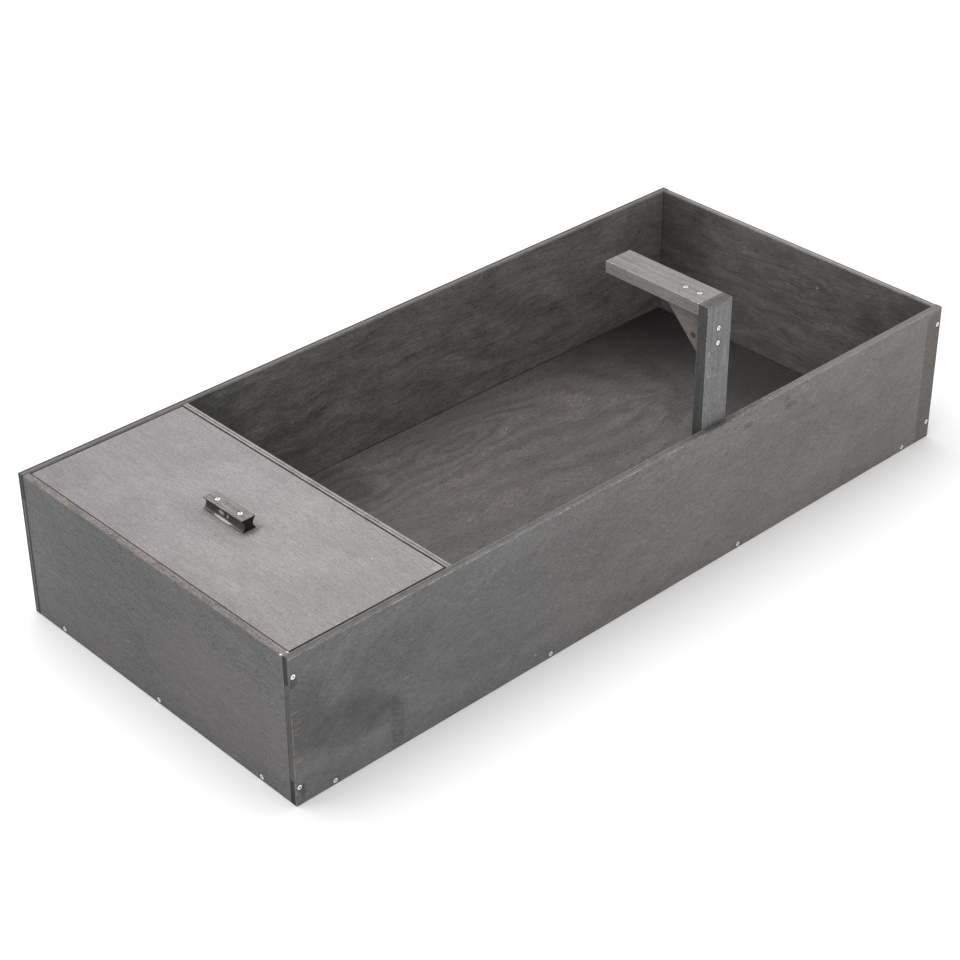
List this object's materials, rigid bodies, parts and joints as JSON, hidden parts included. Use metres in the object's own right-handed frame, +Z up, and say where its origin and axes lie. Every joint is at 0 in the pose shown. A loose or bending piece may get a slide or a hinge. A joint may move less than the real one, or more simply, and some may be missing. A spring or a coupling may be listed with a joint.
{
  "type": "lidded pet tray with lamp bracket",
  "caption": "Long open-topped plywood pet tray in dark stain, with a lidded hide behind a divider doorway at one end and an L-shaped gusseted lamp bracket inside one long side.",
  "frame": {"origin": "centre of the footprint, on the surface that the tray stands on", "axes": "+X along the tray from the lidded hide to the open end, +Y from the long panel that carries the bracket to the other long panel, +Z up"},
  "size_m": [1, 0.45, 0.33],
  "materials": {
    "dark_stained_plywood": "dark grey semi-opaque stain over plywood, matt",
    "dark_inner_plywood": "dark grey-brown stain over plywood, grain showing, satin",
    "light_stained_plywood": "thin grey stain over plywood, matt",
    "stained_batten": "thin grey stain over planed softwood, matt",
    "dark_handle_wood": "dark grey stain over ribbed moulding, matt",
    "zinc_plated_steel": "bright zinc plate"
  },
  "bodies": {
    "tray": {"base_panel": "dark_inner_plywood", "front_panel": "dark_stained_plywood", "back_panel": "dark_stained_plywood", "near_end_panel": "dark_stained_plywood", "far_end_panel": "dark_stained_plywood", "divider_panel": "dark_stained_plywood", "near_lid_cleat": "stained_batten", "divider_lid_cleat": "stained_batten", "bracket_post": "stained_batten", "bracket_arm": "stained_batten", "bracket_gusset": "stained_batten", "front_foot_screws": "zinc_plated_steel", "back_foot_screws": "zinc_plated_steel", "near_foot_screws": "zinc_plated_steel", "far_foot_screws": "zinc_plated_steel", "front_corner_screws": "zinc_plated_steel", "back_corner_screws": "zinc_plated_steel", "divider_screws": "zinc_plated_steel", "near_cleat_screws": "zinc_plated_steel", "divider_cleat_screws": "zinc_plated_steel", "post_wall_screws": "zinc_plated_steel", "post_foot_screw": "zinc_plated_steel", "arm_screws": "zinc_plated_steel", "gusset_screws": "zinc_plated_steel"},
    "lid": {"lid_panel": "light_stained_plywood", "lid_handle": "dark_handle_wood", "lid_handle_screws": "zinc_plated_steel"}
  },
  "joints": [
    {"name": "lid_lift", "type": "slide", "parent": "tray", "child": "lid", "axis": [0, 0, 1], "range_m": [0, 0.2]}
  ]
}
